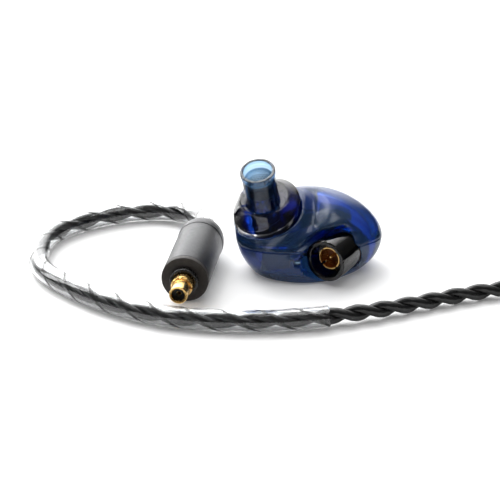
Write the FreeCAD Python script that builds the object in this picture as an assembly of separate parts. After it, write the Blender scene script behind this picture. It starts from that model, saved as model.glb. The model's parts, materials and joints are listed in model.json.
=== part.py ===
import FreeCAD, Part
import math
import os

# One universal-fit in-ear monitor and its detachable cable arm, laid out on a table.
# Millimetres, +Z up. The origin is under the centre of the earpiece's box, on the table.

V = FreeCAD.Vector

# ---------------------------------------------------------------- driving dimensions: earpiece
SEAM_Z = 5.0                 # height of the joint between the faceplate cup and the upper shell
DOME_TOP_Z = 11.3            # height of the dome
WALL = 1.0                   # shell wall
BODY_CENTRE = (0.6, 0.6)     # the sections shrink towards this point
BODY_OUTLINE = [             # plan of the body at the seam, counter-clockwise from the left end
    (-9.7, -0.8), (-8.6, -4.4), (-5.3, -6.4), (0.8, -6.9), (4.9, -5.8), (8.3, -3.7), (10.6, -1.1),
    (10.6, 1.6), (8.6, 5.1), (4.4, 7.5), (-0.5, 8.3), (-6.1, 7.1), (-9.1, 3.3),
]
FOOT_NARROWING = 0.30        # share of the length lost in the rounding down to the resting face
FOOT_SLIMMING = 0.12         # share of the depth lost there
FOOT_SHIFT = (-0.2, -0.3)    # the resting face sits a little towards the nozzle end and the front
DOME_POWER = 1.8             # 2 would be an elliptical dome
DOME_SHIFT = (-0.2, 1.4)     # the dome's top leans this far from the body's centre

NOZZLE_TIP = V(-7.4, -4.45, 16.8)
NOZZLE_AXIS = V(-0.13, -0.355, 0.925)
NOZZLE_R = 2.42
NOZZLE_BASE_R = 2.5          # the nozzle widens a little towards the collar
TAPER_DEPTH = 5.2            # from here on
SPIGOT_R = 2.2               # the nozzle's end that is bonded into the collar
SHOULDER_DEPTH = 6.2
NOZZLE_LENGTH = 7.8
LIP_R = 2.52
LIP_LENGTH = 0.8
LIP_SWELL = 0.03              # the lip is this much fuller at its middle
NOZZLE_BORE_R = 1.75
GRILLE_R = 2.04
GRILLE_DEPTH = 1.5
GRILLE_RISE = 0.55
GRILLE_T = 0.15
GRILLE_HOLE_R = 0.13
GRILLE_PITCH = 0.5
DAMPER_TOP = 2.2
DAMPER_LENGTH = 1.8
DAMPER_WALL = 0.45
FILM = 0.02                  # thickness of a bonded joint between two fitted pieces

SHELF = (V(-6.45, -1.7, 11.6), V(-0.11, -0.42, 0.90), 3.55)     # flat top of the collar
FLARE = (V(-6.1, -0.7, 9.85), V(-0.35, -0.394, 0.85), 5.15)     # widest, slanted edge
SKIRT = (V(-5.9, -1.35, 8.3), V(-0.189, -0.291, 0.938), 4.85)   # lower edge, where the neck begins
NECK_ROOT = (V(-5.3, -0.9, 5.2), V(0, 0, 1), 4.2)
THROAT_R = 2.1               # passage through the collar
THROAT_DEPTH = 14.0
NECK_CAVITY_R = 3.6
NECK_CAVITY_DEPTH = 2.6
COLLAR_SLOT = (1.2, 0.35, 1.1)
COLLAR_SLOT_AT = V(-9.55, -2.9, 11.1)
CUP_HEIGHTS = [0, 0.5, 1.2, 2.4, 3.7, SEAM_Z]
CUP_CAVITY_HEIGHTS = [WALL, 1.8, 2.8, 3.9, SEAM_Z]
DOME_HEIGHTS = [SEAM_Z, 6.2, 7.5, 8.7, 9.8, 10.7, 11.2]
DOME_CAVITY_HEIGHTS = [SEAM_Z, 6.2, 7.4, 8.6, 9.6, 10.2]

VENT_AT = V(-1.7, -6.9, 3.3)
VENT_R = 0.45

# ---------------------------------------------------------------- driving dimensions: socket
SOCKET_FACE = V(2.25, -6.75, 3.75)
SOCKET_AXIS = V(-0.52, -0.85, 0)
BOSS_R = 3.1
BOSS_LENGTH = 7.0
RECESS_R = 2.4
RECESS_DEPTH = 2.4
SOCKET_R = 1.9
SOCKET_BORE_R = 1.42
SOCKET_START = 1.2
SOCKET_END = 5.6
SOCKET_SLOT = 0.25
SOCKET_SLOT_DEPTH = 1.1
SOCKET_INSULATOR_START = 3.4
PIN_R = 0.25
PIN_START = 1.6
PIN_END = 7.3
SCOOP_R = 4.0                # hollow in the upper shell round the boss
SCOOP_END = 4.9              # it runs this far back from the boss's face
SCOOP_START = -1.0           # its floor starts here, counted back from the face
SCOOP_LIFT = 0.4             # this far above the seam
SCOOP_SLOPE = 10.0           # and climbs at this many degrees
SCOOP_MOUTH = 4.0            # the cut runs this far out of the face
SCOOP_REACH = 20.0

# ---------------------------------------------------------------- driving dimensions: inside
BASS_BOX = (7.6, 4.0, 3.8)
BASS_AT = V(1.0, 3.8, 4.7)
MID_BOX = (4.4, 2.6, 1.3)
MID_AT = V(3.9, 1.15, 7.8)
MID_SLOPE = 15.0
HIGH_BOX = (3.8, 2.3, 3.0)
HIGH_AT = V(-4.6, -3.3, 3.1)
BOARD_BOX = (6.0, 4.8, 0.6)
BOARD_AT = V(-2.4, 2.6, 1.6)
TUBE_R = 0.62
TUBE_BORE_R = 0.4
TUBE_SPACING = 0.85          # the three tubes stand this far from the nozzle's axis
TUBE_STRAIGHT = (9.6, 5.0)   # depths in the nozzle between which the tubes run straight
CHIP = (0.7, 1.2, 0.6)
CHIPS_AT = [(-4.9, 1.2), (-3.7, 1.2), (-4.9, 3.0), (-3.7, 3.0)]
WIRE_R = 0.16

# ---------------------------------------------------------------- driving dimensions: cable plug
PLUG_FACE = V(-17.6, -12.0, 3.4)
PLUG_ANGLE = 8.5             # degrees between the plug's axis and -Y
PLUG_R = 3.35
PLUG_BORE_R = 2.9
DISC_T = 0.9
HOUSING_END = 12.4
BOOT_R = 3.4
BOOT_STRAIGHT = 0.6
BOOT_END = 16.4
BOOT_PLAY = 0.03             # between the boot's hole and the sleeve
BOOT_RIM = 0.32              # flat ring left round the hole
BOOT_STEPS = 8
BARREL_R = 1.28
BARREL_ROOT_R = 1.42
BARREL_LENGTH = 5.0
BARREL_BORE_R = 0.95
COLLAR_R = 2.02
COLLAR_T = 0.9
BARREL_DEPTH = 3.4           # how far the barrel is sunk behind the face
PLUG_CONTACT_R = 0.38
PLUG_CONTACT_BORE_R = 0.26
GROOVE_AT = 1.95
GROOVE_W = 0.55
GROOVE_R = 1.12
RING_R = 1.52
RING_BORE_R = 1.18
RING_W = 0.45
RING_GAP = 0.4

# ---------------------------------------------------------------- driving dimensions: cable
CORD_R = 1.175
SLEEVE_R = 1.52
SLEEVE_BORE_R = 1.22
SLEEVE_Z = 1.52
FLOOR_Z = 1.22
COIL_CENTRE = (50.5, 7.4)
COIL_R = 12.2
COIL_PITCH = 2.45
COIL_LANES = 4
COIL_LAYERS = 4
COIL_LIFT = 0.5              # thickness of the tie under the turns
ROUTE = [                    # corners of the cable's path from the plug to the coil
    (-15.54, 1.75, 3.4), (-14.75, 7.0, 3.4), (-16.8, 13.4, 2.2), (-21.7, 16.55, SLEEVE_Z),
    (-28.2, 15.7, SLEEVE_Z), (-34.0, 12.4, SLEEVE_Z), (-38.3, 8.0, SLEEVE_Z), (-39.7, 1.6, SLEEVE_Z),
    (-38.9, -4.6, SLEEVE_Z), (-34.6, -9.9, SLEEVE_Z), (-28.6, -15.2, SLEEVE_Z), (-20.6, -19.5, SLEEVE_Z),
    (-11.6, -21.0, SLEEVE_Z), (-2.0, -20.6, SLEEVE_Z), (7.3, -18.3, SLEEVE_Z), (15.0, -14.9, FLOOR_Z),
    (23.4, -11.4, FLOOR_Z), (32.0, -9.2, FLOOR_Z), (41.0, -8.5, 1.5), (50.5, -8.475, 1.7),
]
SLEEVE_LAST_CORNER = 13       # the clear sleeve stops on the run after this corner
SLEEVE_END = 0.42             # at this share of that run
TAIL = [                     # corners of the cable's path from the top of the coil to the jack
    (50.5, -8.475, 9.0), (58.5, -8.9, 7.6), (66.2, -7.0, 5.2), (71.4, -2.2, 3.4), (72.3, 4.5, 3.0),
]
TIE_T = 0.5
TIE_ANGLE = 24.0             # how much of the ring the tie covers, degrees
TIE_AT = 118.0

# ---------------------------------------------------------------- driving dimensions: jack
JACK_AT = V(72.3, 4.5, 3.0)
JACK_BOOT_END = 7.0
JACK_HOUSING_R = 3.0
JACK_HOUSING_END = 19.0
JACK_R = 1.75                # a 3.5 mm stereo jack
JACK_CORE_R = 1.2
JACK_SLEEVE_END = 25.6
JACK_GAP = 0.7
JACK_RING_END = 28.6
JACK_TIP_END = 33.0
JACK_BOOT_R = (1.75, 2.35)   # at the cable and at the housing
JACK_NECK_R = 1.3
JACK_NOSE_R = (1.7, 0.4)


# ---------------------------------------------------------------- helpers
def unit(vector):
    result = V(vector)
    result.normalize()
    return result


def placed(shape, at, axis):
    """Move a shape made on the origin, with its axis along +Z, to a point and a direction."""
    across = V(1, 0, 0) if abs(unit(axis).x) < 0.9 else V(0, 1, 0)
    rotation = FreeCAD.Rotation(across, V(0, 0, 0), unit(axis), "ZXY")
    moved = shape.copy()
    moved.Placement = FreeCAD.Placement(at, rotation)
    return moved


def rod(radius, low, high):
    return Part.makeCylinder(radius, high - low, V(0, 0, low))


def tube(radius, bore, low, high):
    return rod(radius, low, high).cut(rod(bore, low - 1, high + 1))


def turned(profile):
    """Revolve a closed (radius, height) outline about +Z."""
    points = [V(radius, 0, height) for radius, height in profile]
    face = Part.Face(Part.makePolygon(points + points[:1]))
    return face.revolve(V(0, 0, 0), V(0, 0, 1), 360)


def block(size, at, round_edges=0.0):
    solid = Part.makeBox(*size)
    if round_edges:
        solid = solid.makeFillet(round_edges, solid.Edges)
    solid.translate(at - V(*size) * 0.5)
    return solid


def biggest(shape):
    return max(shape.Solids, key=lambda solid: solid.Volume)


def ring_wire(ring, shrink=0.0):
    centre, normal, radius = ring
    circle = Part.Circle(V(0, 0, 0), V(0, 0, 1), radius - shrink).toShape()
    return Part.Wire([placed(circle, centre, normal)])


def bent_path(corners):
    """Straight runs joined by tangent arcs, each as large as its two runs allow."""
    points = [V(*corner) for corner in corners]
    edges = []
    radii = []
    start = points[0]
    for before, corner, after in zip(points, points[1:], points[2:]):
        into = corner - before
        out = after - corner
        turn = into.getAngle(out)
        setback = 0.45 * min(into.Length, out.Length)
        radius = setback / math.tan(turn / 2)
        first = corner - unit(into) * setback
        last = corner + unit(out) * setback
        inward = unit(unit(out) - unit(into))
        middle = corner + inward * (radius / math.cos(turn / 2) - radius)
        edges.append(Part.LineSegment(start, first).toShape())
        edges.append(Part.Arc(first, middle, last).toShape())
        radii.append(radius)
        start = last
    edges.append(Part.LineSegment(start, points[-1]).toShape())
    return edges, radii


def pipe(edges, radius):
    """A round bar along a path of edges."""
    spine = Part.Wire(edges)
    first = edges[0]
    begin = first.valueAt(first.FirstParameter)
    heading = first.tangentAt(first.FirstParameter)
    profile = Part.Wire([Part.Circle(begin, heading, radius).toShape()])
    return spine.makePipeShell([profile], True, False)


# ---------------------------------------------------------------- body sections
def section_scale(z):
    """Length scale, depth scale and shift of the body's section at a height."""
    if z < SEAM_Z:
        drop = (SEAM_Z - z) / SEAM_Z
        shift = [value * drop for value in FOOT_SHIFT]
        return 1 - FOOT_NARROWING * drop ** 2.4, 1 - FOOT_SLIMMING * drop ** 3, shift
    rise = (z - SEAM_Z) / (DOME_TOP_Z - SEAM_Z)
    scale = (1 - rise ** DOME_POWER) ** (1 / DOME_POWER)
    return scale, scale, [value * rise for value in DOME_SHIFT]


def section_points(z, inset=0.0):
    scale_x, scale_y, shift = section_scale(z)
    points = []
    for x, y in BODY_OUTLINE:
        px = BODY_CENTRE[0] + shift[0] + (x - BODY_CENTRE[0]) * scale_x
        py = BODY_CENTRE[1] + shift[1] + (y - BODY_CENTRE[1]) * scale_y
        points.append(V(px, py, z))
    if not inset:
        return points
    moved = []
    for index, point in enumerate(points):
        along = points[(index + 1) % len(points)] - points[index - 1]
        inward = unit(V(-along.y, along.x, 0))
        moved.append(point + inward * inset)
    return moved


def body_loft(heights, inset=0.0):
    wires = []
    for z in heights:
        curve = Part.BSplineCurve()
        curve.interpolate(Points=section_points(z, inset), PeriodicFlag=True)
        wires.append(Part.Wire([curve.toShape()]))
    return Part.makeLoft(wires, True, False)


def collar_block():
    return Part.makeLoft([ring_wire(ring) for ring in (SHELF, FLARE, SKIRT)], True, True)


def boss_block(margin=0.0):
    return placed(rod(BOSS_R + margin, -BOSS_LENGTH, 0), SOCKET_FACE, SOCKET_AXIS)


def scoop_block(margin=0.0):
    """What is cut from the upper shell so that the boss stands clear of it."""
    hollow = placed(rod(SCOOP_R + margin, -SCOOP_END - margin, SCOOP_MOUTH), SOCKET_FACE, SOCKET_AXIS)
    back = unit(SOCKET_AXIS) * -1
    slope = math.radians(SCOOP_SLOPE)
    floor_at = V(SOCKET_FACE.x, SOCKET_FACE.y, SEAM_Z + SCOOP_LIFT) + back * SCOOP_START
    upward = V(0, 0, math.cos(slope)) - back * math.sin(slope)
    above = Part.makeBox(2 * SCOOP_REACH, 2 * SCOOP_REACH, SCOOP_REACH, V(-SCOOP_REACH, -SCOOP_REACH, -margin))
    return hollow.common(placed(above, floor_at, upward))


def nozzle_point(depth):
    return NOZZLE_TIP - unit(NOZZLE_AXIS) * depth


# ---------------------------------------------------------------- earpiece pieces
def faceplate_cup():
    outer = body_loft(CUP_HEIGHTS)
    cavity = body_loft(CUP_CAVITY_HEIGHTS, WALL)
    vent = placed(rod(VENT_R, -2, 1), VENT_AT, V(0, -1, 0))
    return outer.cut(cavity).cut(boss_block()).cut(vent)


def upper_shell():
    dome = body_loft(DOME_HEIGHTS).cut(scoop_block())
    neck = Part.makeLoft([ring_wire(SKIRT, 0.1), ring_wire(NECK_ROOT)], True, True)
    cavity = body_loft(DOME_CAVITY_HEIGHTS, WALL).cut(scoop_block(WALL))
    neck_cavity = placed(rod(NECK_CAVITY_R, -NECK_CAVITY_DEPTH, 1), SKIRT[0], SKIRT[1])
    shell = dome.fuse(neck).cut(collar_block()).cut(cavity).cut(neck_cavity).cut(boss_block())
    return biggest(shell)


def nozzle_collar():
    seat = rod(NOZZLE_BASE_R + FILM, -SHOULDER_DEPTH, 0)
    seat = seat.fuse(rod(SPIGOT_R + FILM, -NOZZLE_LENGTH, 0)).fuse(rod(THROAT_R, -THROAT_DEPTH, 0))
    slot = block(COLLAR_SLOT, COLLAR_SLOT_AT)
    return biggest(collar_block().cut(placed(seat, NOZZLE_TIP, NOZZLE_AXIS)).cut(slot))


def nozzle_tube():
    solid = turned([
        (NOZZLE_BORE_R, -NOZZLE_LENGTH), (SPIGOT_R, -NOZZLE_LENGTH), (SPIGOT_R, -SHOULDER_DEPTH),
        (NOZZLE_BASE_R, -SHOULDER_DEPTH), (NOZZLE_R, -TAPER_DEPTH), (NOZZLE_R, -LIP_LENGTH - 0.15),
        (LIP_R, -LIP_LENGTH), (LIP_R + LIP_SWELL, -LIP_LENGTH / 2), (LIP_R, -0.12), (LIP_R - 0.12, 0), (GRILLE_R + 0.14, 0),
        (GRILLE_R + FILM, -0.12), (GRILLE_R + FILM, -GRILLE_DEPTH), (NOZZLE_BORE_R, -GRILLE_DEPTH),
    ])
    return placed(solid, NOZZLE_TIP, NOZZLE_AXIS)


def nozzle_grille():
    """A domed disc with a hexagonal field of round holes."""
    sphere_r = (GRILLE_R ** 2 + GRILLE_RISE ** 2) / (2 * GRILLE_RISE)
    centre = V(0, 0, GRILLE_RISE + GRILLE_T - sphere_r - GRILLE_DEPTH)
    outer = Part.makeSphere(sphere_r, centre)
    inner = Part.makeSphere(sphere_r - GRILLE_T, centre)
    dome = rod(GRILLE_R, -GRILLE_DEPTH, 0).common(outer).cut(inner)
    holes = []
    for row in range(-3, 4):
        for column in range(-3, 4):
            x = (column + 0.5 * row) * GRILLE_PITCH
            y = row * GRILLE_PITCH * math.sqrt(3) / 2
            if math.hypot(x, y) < GRILLE_R - 0.4:
                holes.append(Part.makeCylinder(GRILLE_HOLE_R, 3, V(x, y, -GRILLE_DEPTH - 1)))
    return placed(dome.cut(Part.makeCompound(holes)), NOZZLE_TIP, NOZZLE_AXIS)


def nozzle_damper():
    radius = NOZZLE_BORE_R - FILM
    low = -DAMPER_TOP - DAMPER_LENGTH
    ring = tube(radius, radius - DAMPER_WALL, low, -DAMPER_TOP)
    screen = rod(radius - DAMPER_WALL, low + 0.8, low + 0.9)
    return placed(ring.fuse(screen), NOZZLE_TIP, NOZZLE_AXIS)


def vent_screen():
    return placed(rod(VENT_R - FILM, -0.8, -0.6), VENT_AT, V(0, -1, 0))


def socket_boss():
    solid = turned([
        (SOCKET_R + FILM, -BOSS_LENGTH), (BOSS_R, -BOSS_LENGTH), (BOSS_R, -0.25), (BOSS_R - 0.25, 0),
        (RECESS_R + 0.12, 0), (RECESS_R, -0.12), (RECESS_R, -RECESS_DEPTH), (SOCKET_R + FILM, -RECESS_DEPTH),
    ])
    return placed(solid, SOCKET_FACE, SOCKET_AXIS)


def socket_ring():
    """The gold outer contact: a tube with four spring slots in its mouth."""
    solid = turned([
        (SOCKET_BORE_R, -SOCKET_END), (SOCKET_R, -SOCKET_END), (SOCKET_R, -SOCKET_START - 0.15),
        (SOCKET_R - 0.15, -SOCKET_START), (SOCKET_BORE_R + 0.12, -SOCKET_START),
        (SOCKET_BORE_R, -SOCKET_START - 0.2),
    ])
    for turn in (45, 135):
        slot = Part.makeBox(6, SOCKET_SLOT, SOCKET_SLOT_DEPTH)
        slot.translate(V(-3, -SOCKET_SLOT / 2, -SOCKET_START - SOCKET_SLOT_DEPTH))
        slot.rotate(V(0, 0, 0), V(0, 0, 1), turn)
        solid = solid.cut(slot)
    return placed(solid, SOCKET_FACE, SOCKET_AXIS)


def socket_insulator():
    ring = tube(SOCKET_BORE_R - FILM, PIN_R + FILM, -SOCKET_END, -SOCKET_INSULATOR_START)
    return placed(ring, SOCKET_FACE, SOCKET_AXIS)


def socket_pin():
    solid = turned([
        (0, -PIN_END), (PIN_R, -PIN_END), (PIN_R, -PIN_START - 0.3), (PIN_R / 2, -PIN_START), (0, -PIN_START),
    ])
    return placed(solid, SOCKET_FACE, SOCKET_AXIS)


def socket_back():
    """The closing washer behind the socket."""
    return placed(tube(SOCKET_R, PIN_R + FILM, -BOSS_LENGTH, -SOCKET_END - FILM), SOCKET_FACE, SOCKET_AXIS)


def driver_mid():
    solid = block(MID_BOX, V(0, 0, 0), 0.2)
    solid.rotate(V(0, 0, 0), V(0, 1, 0), MID_SLOPE)
    solid.translate(MID_AT)
    return solid


def tube_end(turn, depth):
    """A place on the circle of sound tubes inside the nozzle."""
    offset = V(TUBE_SPACING * math.cos(math.radians(turn)), TUBE_SPACING * math.sin(math.radians(turn)), -depth)
    marker = Part.Vertex(offset)
    return placed(marker, NOZZLE_TIP, NOZZLE_AXIS).Point


def sound_tube(corners, turn):
    route = list(corners) + [tube_end(turn, depth) for depth in TUBE_STRAIGHT]
    edges, _ = bent_path(route)
    return pipe(edges, TUBE_R).cut(pipe(edges, TUBE_BORE_R))


def crossover_parts():
    top = BOARD_AT.z + BOARD_BOX[2] / 2
    return Part.makeCompound([block(CHIP, V(x, y, top + CHIP[2] / 2)) for x, y in CHIPS_AT])


def lead_wires():
    board_top = BOARD_AT.z + BOARD_BOX[2] / 2
    tail = SOCKET_FACE - unit(SOCKET_AXIS) * (PIN_END + 0.05)
    signal = [tail, (6.7, 0.9, 3.2), (5.4, 1.35, 1.75), (1.7, 1.5, 1.6), (0.62, 1.6, 1.6)]
    high = [(-4.4, -2.18, 2.2), (-4.1, -1.6, 2.1), (-3.4, -0.6, 1.75), (-3.2, 0.18, 1.6)]
    bass = [(-2.85, 4.4, 3.6), (-3.9, 4.4, 3.4), (-4.2, 4.5, 2.7), (-4.1, 4.6, board_top)]
    return Part.makeCompound([pipe(bent_path(route)[0], WIRE_R) for route in (signal, high, bass)])


# ---------------------------------------------------------------- plug pieces
PLUG_AXIS = V(-math.sin(math.radians(PLUG_ANGLE)), -math.cos(math.radians(PLUG_ANGLE)), 0)


def on_plug(shape):
    return placed(shape, PLUG_FACE, PLUG_AXIS)


def plug_housing():
    return on_plug(turned([
        (PLUG_BORE_R, -HOUSING_END), (PLUG_R, -HOUSING_END), (PLUG_R, -DISC_T), (PLUG_BORE_R, -DISC_T),
    ]))


def plug_disc():
    return on_plug(turned([
        (BARREL_ROOT_R + FILM, -DISC_T), (PLUG_R, -DISC_T), (PLUG_R, -0.15), (PLUG_R - 0.15, 0),
        (BARREL_ROOT_R + FILM, 0),
    ]))


def plug_boot():
    """A rounded cap behind the housing with the cable's hole in it."""
    bore = SLEEVE_R + BOOT_PLAY
    shoulder = -HOUSING_END - BOOT_STRAIGHT
    nose = BOOT_END - HOUSING_END - BOOT_STRAIGHT
    last_angle = math.acos((bore + BOOT_RIM) / BOOT_R)
    profile = [(bore, -HOUSING_END), (BOOT_R, -HOUSING_END), (BOOT_R, shoulder)]
    for step in range(1, BOOT_STEPS + 1):
        angle = last_angle * step / BOOT_STEPS
        height = shoulder - nose * math.sin(angle) / math.sin(last_angle)
        profile.append((BOOT_R * math.cos(angle), height))
    profile.append((bore, -BOOT_END))
    return on_plug(turned(profile))


def plug_core():
    return on_plug(turned([
        (0, -HOUSING_END), (PLUG_BORE_R - FILM, -HOUSING_END), (PLUG_BORE_R - FILM, -DISC_T - FILM),
        (BARREL_ROOT_R + FILM, -DISC_T - FILM), (BARREL_ROOT_R + FILM, -BARREL_DEPTH - 0.1),
        (0, -BARREL_DEPTH - 0.1),
    ]))


def plug_collar():
    return on_plug(turned([
        (BARREL_ROOT_R + FILM, 0), (COLLAR_R, 0), (COLLAR_R, COLLAR_T - 0.3), (COLLAR_R - 0.1, COLLAR_T - 0.09),
        (COLLAR_R - 0.3, COLLAR_T), (BARREL_ROOT_R + FILM, COLLAR_T),
    ]))


def plug_barrel():
    groove_end = GROOVE_AT + GROOVE_W
    return on_plug(turned([
        (BARREL_BORE_R, -BARREL_DEPTH), (BARREL_ROOT_R, -BARREL_DEPTH), (BARREL_ROOT_R, GROOVE_AT),
        (GROOVE_R, GROOVE_AT), (GROOVE_R, groove_end), (BARREL_R, groove_end), (BARREL_R, BARREL_LENGTH - 0.18),
        (BARREL_R - 0.18, BARREL_LENGTH), (BARREL_BORE_R + 0.08, BARREL_LENGTH),
        (BARREL_BORE_R, BARREL_LENGTH - 0.1),
    ]))


def plug_snap_ring():
    low = GROOVE_AT + (GROOVE_W - RING_W) / 2
    high = low + RING_W
    solid = turned([
        (RING_BORE_R, low), (RING_R - 0.12, low), (RING_R, low + 0.15), (RING_R, high - 0.15),
        (RING_R - 0.12, high), (RING_BORE_R, high),
    ])
    gap = Part.makeBox(3, RING_GAP, RING_W + 1)
    gap.translate(V(0, -RING_GAP / 2, low - 0.5))
    return on_plug(solid.cut(gap))


def plug_insulator():
    bore = PLUG_CONTACT_R + FILM
    return on_plug(tube(BARREL_BORE_R - FILM, bore, -BARREL_DEPTH + 0.1, BARREL_LENGTH - 0.5))


def plug_contact():
    return on_plug(tube(PLUG_CONTACT_R, PLUG_CONTACT_BORE_R, -BARREL_DEPTH + 0.1, BARREL_LENGTH - 0.8))


# ---------------------------------------------------------------- cable pieces
def coil_block():
    """The outer shape of the wound turns: a ring with a rounded square section."""
    half = COIL_LANES * COIL_PITCH / 2
    low = COIL_LIFT
    high = COIL_LIFT + COIL_LAYERS * COIL_PITCH
    corner = CORD_R
    solid = turned([
        (COIL_R - half, low + corner), (COIL_R - half + corner, low), (COIL_R + half - corner, low),
        (COIL_R + half, low + corner), (COIL_R + half, high - corner), (COIL_R + half - corner, high),
        (COIL_R - half + corner, high), (COIL_R - half, high - corner),
    ])
    solid.translate(V(COIL_CENTRE[0], COIL_CENTRE[1], 0))
    return solid


def cable_run():
    edges, radii = bent_path(ROUTE)
    print("cable bend radii:", " ".join(f"{radius:.1f}" for radius in radii))
    return pipe(edges, CORD_R).cut(coil_block())


def cable_tail():
    edges, radii = bent_path(TAIL)
    print("tail bend radii:", " ".join(f"{radius:.1f}" for radius in radii))
    return biggest(pipe(edges, CORD_R).cut(coil_block()))


def hook_sleeve():
    """The clear tube round the first part of the cable."""
    edges, _ = bent_path(ROUTE)
    kept = edges[:2 * SLEEVE_LAST_CORNER]
    before = V(*ROUTE[SLEEVE_LAST_CORNER])
    after = V(*ROUTE[SLEEVE_LAST_CORNER + 1])
    end = before + (after - before) * SLEEVE_END
    start = kept[-1].valueAt(kept[-1].LastParameter)
    if (end - start).Length > FILM:
        kept.append(Part.LineSegment(start, end).toShape())
    return pipe(kept, SLEEVE_R).cut(pipe(kept, SLEEVE_BORE_R))


def coil_tie():
    half = COIL_LANES * COIL_PITCH / 2 + TIE_T
    high = COIL_LIFT + COIL_LAYERS * COIL_PITCH + TIE_T
    points = [
        (COIL_R - half, CORD_R), (COIL_R - half + CORD_R, 0), (COIL_R + half - CORD_R, 0),
        (COIL_R + half, CORD_R), (COIL_R + half, high - CORD_R), (COIL_R + half - CORD_R, high),
        (COIL_R - half + CORD_R, high), (COIL_R - half, high - CORD_R),
    ]
    corners = [V(radius, 0, height) for radius, height in points]
    face = Part.Face(Part.makePolygon(corners + corners[:1]))
    band = face.revolve(V(0, 0, 0), V(0, 0, 1), TIE_ANGLE)
    band.rotate(V(0, 0, 0), V(0, 0, 1), TIE_AT)
    band.translate(V(COIL_CENTRE[0], COIL_CENTRE[1], 0))
    return band.cut(coil_block())


# ---------------------------------------------------------------- jack pieces
def on_jack(profile):
    return placed(turned(profile), JACK_AT, V(0, 1, 0))


def jack_boot():
    bore = CORD_R + FILM
    return on_jack([
        (bore, 0), (JACK_BOOT_R[0], 0), (JACK_BOOT_R[0] + 0.2, 0.4), (JACK_BOOT_R[1], JACK_BOOT_END - 0.4),
        (JACK_BOOT_R[1], JACK_BOOT_END), (bore, JACK_BOOT_END),
    ])


def jack_housing():
    return on_jack([
        (0, JACK_BOOT_END), (JACK_HOUSING_R - 0.3, JACK_BOOT_END), (JACK_HOUSING_R, JACK_BOOT_END + 0.3),
        (JACK_HOUSING_R, JACK_HOUSING_END - 0.6), (JACK_HOUSING_R - 0.4, JACK_HOUSING_END), (0, JACK_HOUSING_END),
    ])


def jack_insulator():
    first = JACK_SLEEVE_END
    second = JACK_RING_END
    return on_jack([
        (0, JACK_HOUSING_END), (JACK_CORE_R, JACK_HOUSING_END), (JACK_CORE_R, first), (JACK_R, first),
        (JACK_R, first + JACK_GAP), (JACK_CORE_R, first + JACK_GAP), (JACK_CORE_R, second), (JACK_R, second),
        (JACK_R, second + JACK_GAP), (0, second + JACK_GAP),
    ])


def jack_sleeve():
    return placed(tube(JACK_R, JACK_CORE_R + FILM, JACK_HOUSING_END, JACK_SLEEVE_END), JACK_AT, V(0, 1, 0))


def jack_ring():
    ring = tube(JACK_R, JACK_CORE_R + FILM, JACK_SLEEVE_END + JACK_GAP, JACK_RING_END)
    return placed(ring, JACK_AT, V(0, 1, 0))


def jack_tip():
    start = JACK_RING_END + JACK_GAP
    return on_jack([
        (0, start), (JACK_R, start), (JACK_R, start + 0.5), (JACK_NECK_R, start + 1.1),
        (JACK_NECK_R, start + 1.5), (JACK_NOSE_R[0], start + 2.1), (JACK_NOSE_R[1], JACK_TIP_END),
        (0, JACK_TIP_END),
    ])


# ---------------------------------------------------------------- the assembly
def sound_tubes():
    """Each tube starts on its driver and ends in the nozzle."""
    bass = [(-3.02, 3.9, 5.6), (-4.6, 3.4, 6.1), (-6.0, 0.9, 7.3)]
    mid = [(1.0, -1.1, 8.6), (-1.2, -1.2, 8.5), (-4.2, -1.3, 7.4)]
    high = [(-5.0, -3.2, 4.72), (-5.3, -3.0, 6.2)]
    return {
        "sound_tube_bass": sound_tube(bass, 90),
        "sound_tube_mid": sound_tube(mid, 330),
        "sound_tube_high": sound_tube(high, 210),
    }


def assembly():
    pieces = {
        "faceplate_cup": faceplate_cup(),
        "upper_shell": upper_shell(),
        "nozzle_collar": nozzle_collar(),
        "nozzle_tube": nozzle_tube(),
        "nozzle_grille": nozzle_grille(),
        "nozzle_damper": nozzle_damper(),
        "vent_screen": vent_screen(),
        "socket_boss": socket_boss(),
        "socket_ring": socket_ring(),
        "socket_insulator": socket_insulator(),
        "socket_pin": socket_pin(),
        "socket_back": socket_back(),
        "driver_bass": block(BASS_BOX, BASS_AT, 0.3),
        "driver_mid": driver_mid(),
        "driver_high": block(HIGH_BOX, HIGH_AT, 0.2),
        "crossover_board": block(BOARD_BOX, BOARD_AT),
        "crossover_parts": crossover_parts(),
        "lead_wires": lead_wires(),
        "plug_housing": plug_housing(),
        "plug_disc": plug_disc(),
        "plug_boot": plug_boot(),
        "plug_core": plug_core(),
        "plug_collar": plug_collar(),
        "plug_barrel": plug_barrel(),
        "plug_snap_ring": plug_snap_ring(),
        "plug_insulator": plug_insulator(),
        "plug_contact": plug_contact(),
        "hook_sleeve": hook_sleeve(),
        "cable_run": cable_run(),
        "cable_coil": coil_block(),
        "coil_tie": coil_tie(),
        "cable_tail": cable_tail(),
        "jack_boot": jack_boot(),
        "jack_housing": jack_housing(),
        "jack_insulator": jack_insulator(),
        "jack_sleeve": jack_sleeve(),
        "jack_ring": jack_ring(),
        "jack_tip": jack_tip(),
    }
    pieces.update(sound_tubes())
    return pieces


def main():
    os.makedirs("parts", exist_ok=True)
    for name, shape in assembly().items():
        shape.exportStep(f"parts/{name}.step")


main()
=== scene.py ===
import json
import math

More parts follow.
